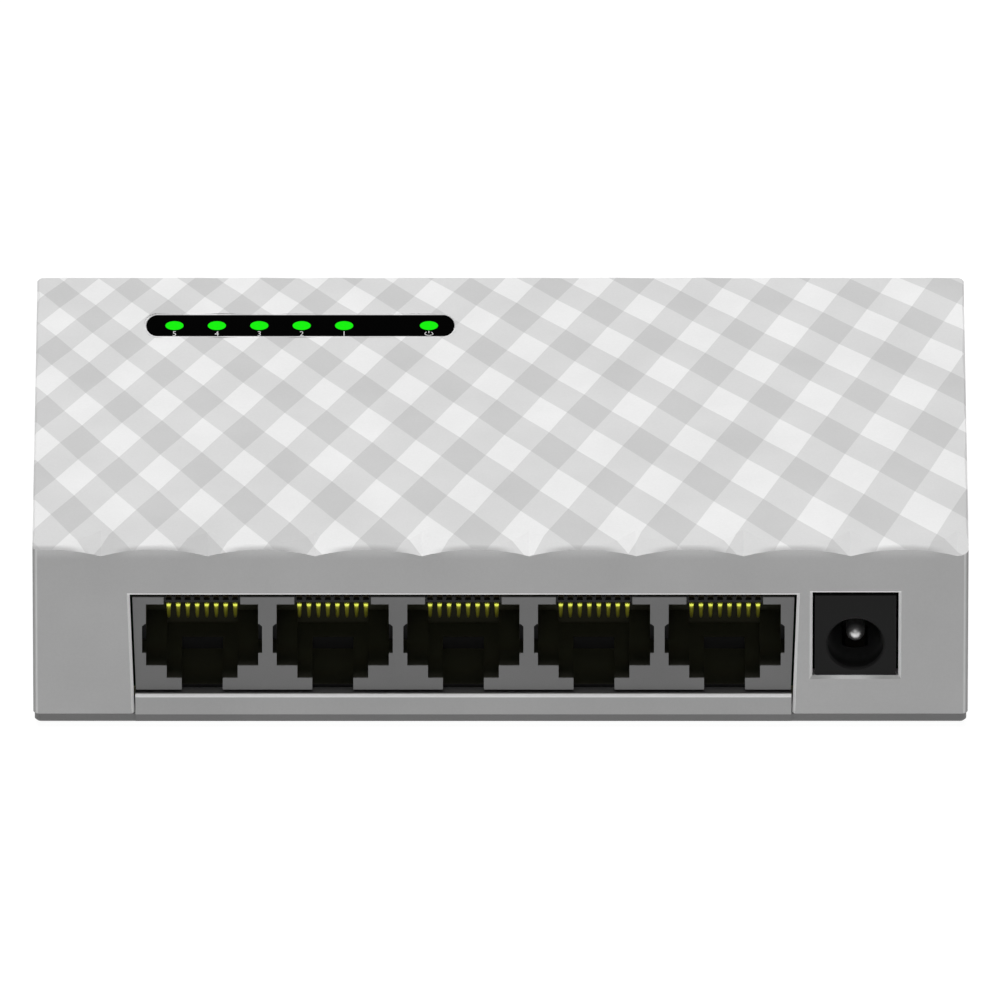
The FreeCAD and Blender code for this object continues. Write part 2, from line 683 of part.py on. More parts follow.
def jack_housing():
    body = new_body("jack_housing")
    low, face = S["board_top"], JACK_FACE
    outline = sketch_on(body, "XZ_Plane", -face)
    middle, foot, top = S["bank_x"], S["jack_low_half"], S["jack_half"]
    corners = [(middle - foot, low), (middle + foot, low)]
    corners += [(middle + top, S["jack_top"]), (middle - top, S["jack_top"])]
    polygon(outline, corners)
    pad(body, outline, S["jack_depth"], backwards=True)
    relief = sketch_on(body, "XZ_Plane", -face)
    rectangle(relief, middle - top, middle + top, low - 1, S["latch_floor"])
    pocket(body, relief, S["tongue_thick"] - S["jack_recess"] + 0.1)

    def hollow(half, floor, top, depth):
        shape = sketch_on(body, "XZ_Plane", -face)
        for port in PORTS:
            rectangle(shape, port_x(port) - half, port_x(port) + half, floor, top)
        pocket(body, shape, depth)

    hollow(S["cavity_half"], S["cavity_floor"], S["cavity_top"], S["cavity_depth"])
    reliefs = sketch_on(body, "XZ_Plane", -face)
    wide, floor, top, slant = S["bulge_half"], S["bulge_floor"], S["bulge_top"], S["bulge_slant"]
    for port in PORTS:
        x = port_x(port)
        corners = [(x - wide, floor), (x + wide, floor), (x + wide, top - slant)]
        corners += [(x + wide - slant, top), (x - wide + slant, top), (x - wide, top - slant)]
        polygon(reliefs, corners)
    pocket(body, reliefs, S["bulge_depth"])
    hollow(S["key_half"], S["key_floor"], S["cavity_floor"] + 0.5, S["cavity_depth"])
    hollow(S["latch_half"], S["latch_floor"], S["key_floor"] + 0.5, S["latch_depth"])
    hollow(S["carrier_half"] + 0.05, S["cavity_top"] - 0.5, S["jack_top"] + 1, S["jack_depth"] + 1)

    pegs = sketch_on(body, "XY_Plane", BOARD_UNDER + 0.1)
    for port in PORTS[::2]:
        circle(pegs, port_x(port), -19, 1.6)
    pad(body, pegs, S["board_thick"] + 0.1)
    keep(body, "ethernet_jack_housing")


def contact_carriers():
    """The dark insert in each port's roof: a comb that guides eight contacts."""
    for port in PORTS:
        body = new_body(f"carrier_{port}")
        low, high = S["carrier_under"], S["jack_top"]
        front, back = JACK_FACE + S["carrier_set_back"], JACK_FACE + S["jack_depth"] - 0.2
        outline = sketch_on(body, "XY_Plane", low)
        rectangle(outline, -S["carrier_half"], S["carrier_half"], front, back)
        pad(body, outline, high - low)
        groove = S["pin_width"] / 2 + 0.07
        upper = sketch_on(body, "XY_Plane", LEAD_TOP - S["pin_thick"] - 0.02)
        comb = sketch_on(body, "XY_Plane", low)
        for pin in PINS:
            rectangle(upper, pin_x(pin) - groove, pin_x(pin) + groove, front - 1, back + 1)
            rectangle(comb, pin_x(pin) - groove, pin_x(pin) + groove, front + S["carrier_lip"], front + 1.5)
        pocket(body, upper, 3, backwards=True)
        pocket(body, comb, 3, backwards=True)
        bind(body, "Placement.Base.x", port_x(port))
        keep(body, f"port_{port}_contact_carrier")


def contact_leads():
    """The fixed run of each contact: up behind the carrier's lip, back over it, down through the board."""
    thick, width = S["pin_thick"], S["pin_width"]
    high = LEAD_TOP
    front = JACK_FACE + S["carrier_set_back"] + S["carrier_lip"] + 0.05
    for port in PORTS:
        strips = []
        for pin in PINS:
            x = port_x(port) + pin_x(pin)
            sides = (x - width / 2, x + width / 2)
            tail = S["row_one"] if pin % 2 else S["row_two"]
            run = block(*sides, front, tail + thick, high - thick, high)
            bend = block(*sides, front, front + thick, S["carrier_under"] + 0.08, high)
            drop = block(*sides, tail, tail + thick, S["tail_end"], high)
            strips.append(fuse([run, bend, drop]))
        keep(group(strips), f"port_{port}_leads")


def contact_springs():
    """The moving run of each contact: a bent strip that a plug pushes up about its front bend."""
    thick, width = S["pin_thick"], S["pin_width"]
    y, z = S["pivot_y"], S["pivot_z"]
    knee = (S["knee_y"], S["knee_z"])
    tip = (S["tip_y"], S["tip_z"])
    for port in PORTS:
        body = new_body(f"contacts_{port}")
        side = sketch_on(body, "YZ_Plane", pin_x(0) - width / 2)
        corners = [(y + thick * 0.4, z + thick * 0.25), (knee[0] + 0.15, knee[1]), tip]
        corners += [(tip[0], tip[1] - thick), (knee[0] - 0.12, knee[1] - thick)]
        corners += [(y - thick * 0.4, z - thick * 0.25)]
        polygon(side, corners)
        strip = pad(body, side, width)
        eye = sketch_on(body, "YZ_Plane", pin_x(0) - width / 2)
        circle(eye, y, z, thick / 2)
        bead = pad(body, eye, width)
        row_of(body, [strip, bead], len(PINS), S["pin_pitch"])
        bind(body, "Placement.Base.x", port_x(port))
        keep(body, f"port_{port}_contacts")


# ---------------------------------------------------------------- power socket

def dc_jack():
    half, face = S["dc_body_half"], DC_FACE
    left, right = S["dc_x"] - half, S["dc_x"] + half
    board = S["board_top"]
    behind_wall = REAR + S["wall"] + 0.1
    nose = block(left, right, face, face + 3.3, S["dc_window_floor"] + 0.06, S["dc_body_top"])
    barrel = block(left, right, behind_wall, face + 13.5, board, S["dc_body_top"] - 1.4)
    hole = rod(S["dc_x"], face - 1, S["dc_z"], S["dc_hole_radius"], S["dc_hole_depth"] + 1, along="y")
    seat = rod(S["dc_x"], face, S["dc_z"], S["dc_pin_radius"] + 0.2, 14, along="y")
    slot = block(S["dc_x"] - 1.4, S["dc_x"] + 1.4, face + 4.5, face + 14, board + 0.5, S["dc_z"] - 1.5)
    rim = doc.addObject("Part::Cone", "rim")
    rim.Placement.Rotation = FreeCAD.Rotation(FreeCAD.Vector(1, 0, 0), -90)
    bind(rim, "Radius1", S["dc_hole_radius"] + 0.2)
    bind(rim, "Radius2", S["dc_hole_radius"])
    bind(rim, "Height", 0.2)
    for axis, value in (("x", S["dc_x"]), ("y", face), ("z", S["dc_z"])):
        bind(rim, f"Placement.Base.{axis}", value)
    keep(cut(fuse([nose, barrel]), fuse([hole, seat, slot, rim])), "power_jack_body")


def dc_pin():
    """Centre pin: a rounded tip, a free length for the plug's bore and a wider root in the body."""
    body = new_body("dc_pin")
    radius, tip = S["dc_pin_radius"], DC_FACE + S["dc_pin_set_back"]
    shoulder = DC_FACE + S["dc_hole_depth"]
    profile = sketch_on(body, "XY_Plane", 0)
    root = radius + 0.2
    corners = [(0, tip + radius), (radius, tip + radius), (radius, shoulder), (root, shoulder)]
    corners += [(root, DC_FACE + 14), (0, DC_FACE + 14)]
    polygon(profile, corners)
    turn = body.newObject("PartDesign::Revolution", "turned")
    turn.Profile = profile
    turn.ReferenceAxis = (profile, ["V_Axis"])
    turn.Angle = 360
    bind(body, "Placement.Base.x", S["dc_x"])
    bind(body, "Placement.Base.z", S["dc_z"])
    ball = doc.addObject("Part::Sphere", "ball")
    bind(ball, "Radius", radius)
    for axis, value in (("x", S["dc_x"]), ("y", tip + radius), ("z", S["dc_z"])):
        bind(ball, f"Placement.Base.{axis}", value)
    keep(fuse([body, ball]), "power_jack_centre_pin")


def dc_spring():
    """The side contact: a leaf hinged at its rear whose crest touches the plug's sleeve."""
    body = new_body("dc_spring")
    side = sketch_on(body, "YZ_Plane", -1.0)
    face, low = DC_FACE, S["dc_z"] - S["dc_hole_radius"] - 1.1
    crest = S["dc_z"] - 2.35
    rear = face + 12.5
    corners = [(rear, low), (face + 7.0, low), (face + 6.2, crest), (face + 5.4, low + 0.6)]
    corners += [(face + 5.2, low + 0.3), (face + 6.2, crest - 0.4), (face + 6.8, low - 0.3), (rear, low - 0.3)]
    polygon(side, corners)
    pad(body, side, 2.0)
    eye = sketch_on(body, "YZ_Plane", -1.0)
    circle(eye, rear, low - 0.15, 0.3)
    pad(body, eye, 2.0)
    bind(body, "Placement.Base.x", S["dc_x"])
    keep(body, "power_jack_side_contact")


def dc_terminals():
    """Three flat solder tags through the board: pin, sleeve and switched contact."""
    x, face = S["dc_x"], DC_FACE
    low = S["tail_end"]
    rear = block(x - 1.2, x + 1.2, face + 14.0, face + 14.4, low, S["dc_z"] + 1.5)
    middle = block(x - 1.2, x + 1.2, face + 11.2, face + 11.6, low, S["board_top"])
    side = block(x + 4.45, x + 4.85, face + 9.8, face + 12.2, low, S["board_top"] + 4)
    keep(group([rear, middle, side]), "power_jack_terminals")


# ---------------------------------------------------------------- circuit board

def circuit_board():
    body = new_body("board")
    outline = sketch_on(body, "XY_Plane", BOARD_UNDER)
    half = S["board_half_x"]
    rectangle(outline, -half, half, S["board_rear"], S["board_front"])
    pad(body, outline, S["board_thick"])
    dress(body, "Fillet", is_upright, 1.0)
    holes = sketch_on(body, "XY_Plane", BOARD_UNDER)
    for x, y in POSTS:
        circle(holes, x, y, S["screw_radius"] + 0.35)
    for port in PORTS[::2]:
        circle(holes, port_x(port), -19, 1.65)
    for port in PORTS:
        for pin in PINS:
            row = S["row_one"] if pin % 2 else S["row_two"]
            circle(holes, port_x(port) + pin_x(pin), row + S["pin_thick"] / 2, 0.42)
    x, face = S["dc_x"], DC_FACE
    rectangle(holes, x - 1.5, x + 1.5, face + 13.8, face + 14.8)
    rectangle(holes, x - 1.5, x + 1.5, face + 10.9, face + 11.9)
    rectangle(holes, x + 4.15, x + 5.15, face + 9.5, face + 12.5)
    pocket(body, holes, S["board_thick"], backwards=True)
    keep(body, "circuit_board")


def on_board(x, y, long, wide, tall, lift=0.0):
    """A block centred at (x, y), standing on the board or lifted above it."""
    low = S["board_top"] + lift
    return block(x - long / 2, x + long / 2, y - wide / 2, y + wide / 2, low, low + tall)


def port_transformers():
    """One isolation transformer module behind each port, with its gull-wing leads."""
    for port in PORTS:
        x, y = port_x(port), -1.9
        leads = []
        for step in range(8):
            for side in (-1, 1):
                leads.append(on_board(x + (step - 3.5) * 1.2, y + side * 4.3, 0.4, 1.4, 0.25))
        keep(group([on_board(x, y, 10.6, 7.0, 5.0, 0.1), *leads]), f"port_{port}_transformer")


def switch_chip():
    x, y = -4.0, 11.5
    leads = []
    for step in range(12):
        offset = (step - 5.5) * 0.9
        for side in (-1, 1):
            leads.append(on_board(x + offset, y + side * 6.6, 0.3, 1.2, 0.2))
            leads.append(on_board(x + side * 6.6, y + offset, 1.2, 0.3, 0.2))
    keep(group([on_board(x, y, 12, 12, 1.4, 0.1), *leads]), "switch_chip")


def capacitors():
    for number_on_board, (x, y) in enumerate([(33.0, 8.0), (40.5, 8.0)], 1):
        can = rod(x, y, S["board_top"] + 0.5, 3.15, 7.5)
        foot = on_board(x, y, 6.6, 6.6, 0.5)
        keep(fuse([foot, can]), f"filter_capacitor_{number_on_board}")


def small_components():
    keep(on_board(11.5, 12.0, 11.0, 4.5, 3.5), "crystal")
    keep(on_board(22.5, 12.0, 6.0, 6.0, 3.0), "power_inductor")
    regulator = on_board(29.5, 17.0, 4.0, 4.0, 1.5)
    legs = [on_board(29.5 + step, 14.4, 0.4, 1.2, 0.3) for step in (-1.27, 0.0, 1.27)]
    keep(group([regulator, *legs]), "voltage_regulator")
    resistors = [on_board(S["lamp_x"] + S["lamp_pitch"] * step, 15.6, 0.8, 1.6, 0.5) for step in (0, 1, 2, 3)]
    resistors += [on_board(x, -8.0, 0.8, 1.6, 0.5) for x in range(-38, 30, 4)]
    keep(group(resistors), "chip_resistors")
    ceramics = [on_board(x, 3.7, 1.6, 0.8, 0.8) for x in range(-38, 30, 6)]
    ceramics += [on_board(-4 + x, 20.8, 0.8, 1.4, 0.8) for x in (2, 5, 8)]
    keep(group(ceramics), "chip_capacitors")


# ---------------------------------------------------------------- build, check and write

def check():
    """Stops with a message if any object failed or a sub-part isn't made of valid solids."""
    doc.recompute()
    for obj in doc.Objects:
        if "Invalid" in obj.State or "Error" in obj.State:
            raise ValueError(f"{obj.Label} ({obj.Name}) failed: {obj.State}")
    for part in parts:
        shape = part.Shape
        if shape.isNull() or not shape.isValid() or not shape.Solids:
            raise ValueError(f"{part.Label} has no valid solid")
        if min(solid.Volume for solid in shape.Solids) <= 0:
            raise ValueError(f"{part.Label} holds a solid with no volume")


def write():
    os.makedirs("parts", exist_ok=True)
    for name in os.listdir("parts"):
        os.remove(os.path.join("parts", name))
    for part in parts:
        part.Shape.exportStep(os.path.join("parts", f"{part.Label}.step"))
        box = part.Shape.BoundBox
        print(f"{part.Label}: {len(part.Shape.Solids)} solids, z {box.ZMin:.2f} to {box.ZMax:.2f}")


def main():
    top_cover()
    base_shell()
    rubber_feet()
    case_screws()
    rating_label()
    indicator_window()
    light_pipes()
    lamps()
    jack_housing()
    contact_carriers()
    contact_leads()
    contact_springs()
    dc_jack()
    dc_pin()
    dc_spring()
    dc_terminals()
    circuit_board()
    port_transformers()
    switch_chip()
    capacitors()
    small_components()
    check()
    write()
    print(f"{len(parts)} sub-parts")


main()
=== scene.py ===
"""Looks of the desktop network switch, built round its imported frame. Metres, +Z up, sockets face -Y."""

import json
import math

import bmesh
import bpy
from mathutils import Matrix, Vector


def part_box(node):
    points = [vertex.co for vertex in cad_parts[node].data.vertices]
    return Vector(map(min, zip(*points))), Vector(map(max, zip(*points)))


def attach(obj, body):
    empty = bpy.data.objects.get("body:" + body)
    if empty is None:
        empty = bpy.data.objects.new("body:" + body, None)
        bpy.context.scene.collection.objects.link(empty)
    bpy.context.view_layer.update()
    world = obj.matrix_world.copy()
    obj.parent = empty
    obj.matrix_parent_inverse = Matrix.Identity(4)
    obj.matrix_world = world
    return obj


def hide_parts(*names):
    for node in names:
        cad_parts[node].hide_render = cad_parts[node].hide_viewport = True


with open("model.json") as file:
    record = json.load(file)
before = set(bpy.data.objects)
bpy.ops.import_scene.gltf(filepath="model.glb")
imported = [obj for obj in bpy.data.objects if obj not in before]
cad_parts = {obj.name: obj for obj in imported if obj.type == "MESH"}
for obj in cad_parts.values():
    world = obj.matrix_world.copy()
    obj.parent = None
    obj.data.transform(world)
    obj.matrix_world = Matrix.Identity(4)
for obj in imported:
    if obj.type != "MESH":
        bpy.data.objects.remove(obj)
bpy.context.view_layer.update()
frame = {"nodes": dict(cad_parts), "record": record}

MM = 0.001
PORTS = (5, 4, 3, 2, 1)
LAMPS = [f"port_{port}" for port in PORTS] + ["power"]

# the lid's facet lattice: corner-to-corner reach of the middle diamond, and how the diamonds taper
ACROSS = Vector((4.72, 0.579)) * MM
ALONG = Vector((-0.81, 7.72)) * MM
LATTICE_Y = -1.13 * MM
TAPER_ACROSS = -0.0047
TAPER_ALONG = 0.0262

# the scallops along the lid's edge over the sockets: one crest, and crest to crest
CREST_X = -2.65 * MM
CREST_PITCH = 11.44 * MM

# each network socket's latch slot ends this far behind the housing's face
LATCH_DEPTH = 9.0 * MM
PINS = 8

# height at which the painted highlight on the tongue's lip, and the painted shade on the ledge behind it,
# start
TONGUE_LIP_Z = 3.55 * MM

# the window's marks stand this far in front of the lamps
MARK_OFFSET = 1.78 * MM

# albedo of the lid's three tones and of the plain plastics
TONES = (0.562, 0.656, 0.795)
COVER_GREY = 0.522
TONGUE_GREY = 0.45
BASE_GREY = 0.196
JACK_GREY = 0.208

# camera: a long lens keeps the case's sides parallel
ELEVATION = math.radians(29.16)
LENS = 1600.0
SENSOR = 36.0
VIEW_WIDTH = 107.6 * MM
VIEW_RISE = 9.62 * MM


def grey(level, tint=(1.0, 1.0, 1.0)):
    return tuple(level * part for part in tint)


# ---------------------------------------------------------------- shader graphs

class Graph:
    """A material's node tree, with short calls for the nodes this script uses."""

    def __init__(self, name):
        self.material = bpy.data.materials.new(name)
        self.material.use_nodes = True
        self.nodes = self.material.node_tree.nodes
        self.links = self.material.node_tree.links
        self.shader = self.nodes["Principled BSDF"]
        self.place = self.add("ShaderNodeTexCoord").outputs["Object"]

    def add(self, kind, **settings):
        node = self.nodes.new(kind)
        for key, value in settings.items():
            setattr(node, key, value)
        return node

    def feed(self, socket, value):
        """Links a socket to an output, or sets it to a plain number, vector or colour."""
        if isinstance(value, bpy.types.NodeSocket):
            self.links.new(value, socket)
        elif isinstance(value, (int, float)) or len(value) == len(socket.default_value):
            socket.default_value = value
        else:
            socket.default_value = (*value, 1.0)

    def math(self, operation, a, b=0.0):
        node = self.add("ShaderNodeMath", operation=operation)
        self.feed(node.inputs[0], a)
        self.feed(node.inputs[1], b)
        return node.outputs[0]

    def axes(self, vector):
        node = self.add("ShaderNodeSeparateXYZ")
        self.feed(node.inputs[0], vector)
        return node.outputs

    def true_normal(self):
        """The surface's own direction, split along the row's axes."""
        return self.axes(self.add("ShaderNodeNewGeometry").outputs["True Normal"])

    def span(self, value, low, high, smooth=False, start=0.0, end=1.0):
        """low at value = start and high at value = end, straight or smooth between."""
        node = self.add("ShaderNodeMapRange", interpolation_type="SMOOTHSTEP" if smooth else "LINEAR")
        for name, number in (("From Min", start), ("From Max", end), ("To Min", low), ("To Max", high)):
            self.feed(node.inputs[name], number)
        self.feed(node.inputs["Value"], value)
        return node.outputs[0]

    def rise(self, value, start, end):
        """0 below start, 1 above end."""
        return self.span(value, 0.0, 1.0, True, start, end)

    def fall(self, value, start, end):
        """1 below start, 0 above end."""
        return self.span(value, 1.0, 0.0, True, start, end)

    def product(self, *factors):
        result = factors[0]
        for factor in factors[1:]:
            result = self.math("MULTIPLY", result, factor)
        return result

    def mix(self, amount, a, b, blend="MIX"):
        node = self.add("ShaderNodeMix", data_type="RGBA", blend_type=blend)
        for slot, value in ((0, amount), (6, a), (7, b)):
            self.feed(node.inputs[slot], value)
        return node.outputs[2]

    def noise(self, size, detail=2.0, stretch=(1.0, 1.0, 1.0)):
        """Noise whose features are about size metres across, times stretch on each axis."""
        scale = self.add("ShaderNodeMapping")
        self.feed(scale.inputs["Vector"], self.place)
        self.feed(scale.inputs["Scale"], tuple(1.0 / (size * part) for part in stretch))
        node = self.add("ShaderNodeTexNoise")
        self.feed(node.inputs["Vector"], scale.outputs[0])
        self.feed(node.inputs["Scale"], 1.0)
        self.feed(node.inputs["Detail"], detail)
        return node.outputs["Fac"]

    def cells(self, size):
        node = self.add("ShaderNodeTexVoronoi")
        self.feed(node.inputs["Vector"], self.place)
        self.feed(node.inputs["Scale"], 1.0 / size)
        return node.outputs["Distance"]

    def bump(self, height, depth, under=None):
        node = self.add("ShaderNodeBump")
        self.feed(node.inputs["Height"], height)
        self.feed(node.inputs["Distance"], depth)
        if under:
            self.feed(node.inputs["Normal"], under)
        return node.outputs[0]

    def surface(self, **sockets):
        """Sets the shader's sockets by name, with _ for a space."""
        for key, value in sockets.items():
            self.feed(self.shader.inputs[key.replace("_", " ")], value)
        return self.material


# ---------------------------------------------------------------- plastics

def moulded(graph, colour, roughness=0.5, grain=0.22 * MM, depth=0.006 * MM, mottle=0.03, specular=0.3):
    """Spark-eroded moulded plastic: fine grain, a faint large mottle and slightly uneven gloss."""
    cloud = graph.noise(9 * MM, 3.0)
    speck = graph.noise(grain, 2.0)
    shade = graph.span(cloud, 1 - mottle, 1 + mottle, start=0.3, end=0.7)
    fine = graph.span(speck, 1 - mottle / 2, 1 + mottle / 2, start=0.3, end=0.7)
    tinted = graph.mix(1.0, colour, as_colour(graph, graph.product(shade, fine)), "MULTIPLY")
    return graph.surface(
        Base_Color=tinted,
        Roughness=graph.span(cloud, roughness - 0.05, roughness + 0.05, start=0.3, end=0.7),
        Specular_IOR_Level=specular,
        Normal=graph.bump(speck, depth),
    )


def as_colour(graph, value):
    node = graph.add("ShaderNodeCombineColor")
    for channel in range(3):
        graph.feed(node.inputs[channel], value)
    return node.outputs[0]


def lattice_bands(graph):
    """0 or 1 for each of the lid's two crossing sets of stripes, at any point of the lid.

    The point is first written in steps of ACROSS and ALONG, then the taper is undone.
    """
    x, y, _ = graph.axes(graph.place)
    y = graph.math("SUBTRACT", y, LATTICE_Y)
    area = ACROSS.x * ALONG.y - ACROSS.y * ALONG.x

    def steps(over_x, over_y):
        return graph.math("ADD", graph.product(x, over_x / area), graph.product(y, over_y / area))

    across = steps(ALONG.y, -ALONG.x)
    along = steps(-ACROSS.y, ACROSS.x)
    taper = graph.math("ADD", graph.product(across, TAPER_ACROSS), graph.product(along, TAPER_ALONG))
    size = graph.math("SUBTRACT", 1.0, taper)
    across = graph.math("DIVIDE", across, size)
    along = graph.math("DIVIDE", along, size)
    bands = []
    for operation in ("SUBTRACT", "ADD"):
        wave = graph.math("PINGPONG", graph.math(operation, across, along), 1.0)
        bands.append(graph.rise(wave, 0.49, 0.51))
    return bands


def plaid(graph):
    """The lid's three tones: dark between the stripes, light where two stripes cross."""
    bands = lattice_bands(graph)
    one_band = graph.math("MAXIMUM", *bands)
    two_bands = graph.math("MINIMUM", *bands)
    dark, middle, light = (grey(tone) for tone in TONES)
    return graph.mix(two_bands, graph.mix(one_band, dark, middle), light)


def painted_lip_highlights(graph, colour, face):
    """Painted highlight on the slanted lips of the openings in the socket side, at y = face."""
    _, y, _ = graph.axes(graph.place)
    _, facing_y, _ = graph.true_normal()
    slanted = graph.product(graph.rise(facing_y, -0.97, -0.9), graph.fall(facing_y, -0.45, -0.35))
    # lip: where the painted highlight goes
    lip = graph.product(slanted, graph.fall(y, face + 0.5 * MM, face + 0.7 * MM))
    return graph.mix(graph.product(lip, 0.75), colour, grey(0.93))


def painted_crest_shading(graph, colour, face, top):
    """Blends the lid and the socket side, at y = face, into each other at each crest of the scallops, with
    painted shade on the lid and painted light on the socket side.
    """
    x, y, z = graph.axes(graph.place)
    _, _, facing_z = graph.true_normal()
    from_crest = graph.math("PINGPONG", graph.math("SUBTRACT", x, CREST_X), CREST_PITCH / 2)
    crest = graph.fall(from_crest, 2.0 * MM, 5.2 * MM)
    # over: painted shade on the lid just behind each crest, standing in for a rounded edge
    over = graph.product(crest, graph.fall(y, face, face + 1.0 * MM), graph.rise(facing_z, 0.55, 0.62))
    upright = graph.fall(facing_z, 0.4, 0.55)
    # under: painted light on the socket side just below each crest
    under = graph.product(crest, graph.rise(z, top - 1.6 * MM, top - 0.2 * MM), upright)
    colour = graph.mix(graph.product(over, 0.62), colour, grey(0.3))
    return graph.mix(graph.product(under, 0.35), colour, grey(0.9))


def dim_vents(graph, colour, edge, far, top):
    """Shade on the walls of the vent slots in the two sides at x = edge and x = -edge."""
    x, y, z = graph.axes(graph.place)
    _, _, facing_z = graph.true_normal()
    slot = graph.product(
        graph.fall(graph.math("ABSOLUTE", x), edge - 1.2 * MM, edge - 0.1 * MM),
        graph.fall(graph.math("ABSOLUTE", y), far - 4 * MM, far - 3 * MM),
        graph.fall(z, top - 3 * MM, top - 2 * MM),
        graph.fall(facing_z, 0.4, 0.55),
    )
    return graph.mix(graph.product(slot, 0.92), colour, grey(0.05))


def dim_corners(graph, colour, edge):
    """Shade on the two upright corners of the socket side, where the wall turns away."""
    x, _, _ = graph.axes(graph.place)
    _, facing_y, facing_z = graph.true_normal()
    turned = graph.product(
        graph.rise(graph.math("ABSOLUTE", x), edge - 0.5 * MM, edge - 0.1 * MM),
        graph.fall(facing_z, 0.4, 0.55),
        graph.fall(facing_y, -0.12, -0.02),
    )
    return graph.mix(graph.product(turned, 0.8), colour, grey(0.26))


def cover_material():
    """The cover: a lid in three tones of plaid, plain sides, painted highlights on the lips, painted shade
    and light at the crests and dim vent slots.
    """
    graph = Graph("cover_plastic")
    (_, face, _), (edge, far, top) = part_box("top_cover")
    _, _, z = graph.axes(graph.place)
    _, _, facing_z = graph.true_normal()
    lid = graph.product(graph.rise(facing_z, 0.55, 0.62), graph.rise(z, top - 1.8 * MM, top - 1.4 * MM))
    colour = graph.mix(lid, grey(COVER_GREY), plaid(graph))
    # painted highlights on the lips of the openings
    colour = painted_lip_highlights(graph, colour, face)
    # painted shade and light at the crests of the scallops
    colour = painted_crest_shading(graph, colour, face, top)
    colour = dim_vents(graph, colour, edge, far, top)
    colour = dim_corners(graph, colour, edge)
    return moulded(graph, colour, roughness=0.48, specular=0.08)


def base_material():
    """The base: a tongue as pale as the cover, with a painted highlight on its lip and painted shade on the
    ledge behind it; darker below.
    """
    graph = Graph("base_plastic")
    _, y, z = graph.axes(graph.place)
    _, face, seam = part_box("top_cover")[0]
    tongue = graph.rise(z, seam - 0.12 * MM, seam - 0.08 * MM)
    raised = graph.rise(z, TONGUE_LIP_Z, TONGUE_LIP_Z + 0.2 * MM)
    # lip: painted highlight along the tongue's front top edge
    lip = graph.product(raised, graph.fall(y, face + 0.12 * MM, face + 0.25 * MM))
    # ledge: painted shade on the tongue's top, in the gap under the sockets
    ledge = graph.product(raised, graph.rise(y, face + 0.12 * MM, face + 0.35 * MM))
    colour = graph.mix(tongue, grey(BASE_GREY), grey(TONGUE_GREY))
    colour = graph.mix(lip, colour, grey(0.98))
    colour = graph.mix(ledge, colour, grey(0.09))
    return moulded(graph, colour, roughness=0.5)


def jack_material():
    """Grey glass-filled housing with painted shade inside its sockets, darkest where a recess ends."""
    graph = Graph("jack_plastic")
    _, y, _ = graph.axes(graph.place)
    _, facing_y, _ = graph.true_normal()
    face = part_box("ethernet_jack_housing")[0][1]
    # inside: painted shade in the sockets, from just behind the housing's face
    inside = graph.rise(y, face + 0.02 * MM, face + 0.25 * MM)
    painted_depth_shade = graph.rise(y, face, face + 6 * MM)
    socket_shade = graph.mix(painted_depth_shade, grey(0.036, (1.0, 1.0, 0.75)), grey(0.12, (1.0, 1.0, 0.65)))
    latch_end = face + LATCH_DEPTH
    # end: painted shade on the walls that close each latch slot's recess
    end = graph.product(
        graph.rise(y, face + 0.3 * MM, face + 0.6 * MM),
        graph.fall(y, latch_end, latch_end + 0.4 * MM),
        graph.fall(facing_y, -0.9, -0.5),
    )
    recess_end_shade = graph.mix(graph.rise(y, face + 3 * MM, latch_end - 1 * MM), grey(0.016), grey(0.044))
    socket_shade = graph.mix(end, socket_shade, recess_end_shade)
    colour = graph.mix(inside, grey(JACK_GREY), socket_shade)
    return moulded(graph, colour, roughness=0.6, grain=0.12 * MM, mottle=0.05, specular=0.15)


def power_material():
    """Black socket body, with painted light making it a little paler inside its hole."""
    graph = Graph("power_plastic")
    _, y, _ = graph.axes(graph.place)
    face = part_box("power_jack_body")[0][1]
    # inside: painted light in the hole
    inside = graph.rise(y, face + 0.4 * MM, face + 2.5 * MM)
    colour = graph.mix(inside, grey(0.011), grey(0.075))
    return moulded(graph, colour, roughness=0.5, grain=0.15 * MM, specular=0.12)


def plain_plastic(name, colour, **how):
    graph = Graph(name)
    return moulded(graph, colour, **how)


def window_material():
    """Polished black acrylic with the faintest orange peel and dust."""
    graph = Graph("window_film")
    ripple = graph.noise(3 * MM)
    dust = graph.rise(graph.noise(0.08 * MM, 0.0), 0.74, 0.8)
    return graph.surface(
        Base_Color=graph.mix(dust, grey(0.0004), grey(0.002)),
        Roughness=graph.span(dust, 0.06, 0.3),
        Specular_IOR_Level=0.03,
        Normal=graph.bump(ripple, 0.002 * MM),
    )


def rubber_material():
    graph = Graph("foot_rubber")
    pebble = graph.noise(0.15 * MM, 3.0)
    cloud = graph.noise(2.5 * MM)
    return graph.surface(
        Base_Color=graph.mix(cloud, grey(0.012), grey(0.028)),
        Roughness=graph.span(pebble, 0.75, 0.92),
        Specular_IOR_Level=0.3,
        Normal=graph.bump(pebble, 0.015 * MM),
    )


def label_material():
    """Blank satin label film with a thin printed border."""
    graph = Graph("label_film")
    low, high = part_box("rating_label")
    x, y, _ = graph.axes(graph.place)
    from_side = graph.math("SUBTRACT", (high[0] - low[0]) / 2, graph.math("ABSOLUTE", x))
    from_middle = graph.math("ABSOLUTE", graph.math("SUBTRACT", y, (low[1] + high[1]) / 2))
    from_end = graph.math("SUBTRACT", (high[1] - low[1]) / 2, from_middle)
    edge = graph.math("MINIMUM", from_side, from_end)
    border = graph.product(graph.rise(edge, 0.8 * MM, 0.85 * MM), graph.fall(edge, 1.05 * MM, 1.1 * MM))
    weave = graph.noise(0.1 * MM)
    return graph.surface(
        Base_Color=graph.mix(border, graph.mix(weave, grey(0.72), grey(0.8)), grey(0.12)),
        Roughness=graph.span(weave, 0.35, 0.45),
        Normal=graph.bump(weave, 0.002 * MM),
    )


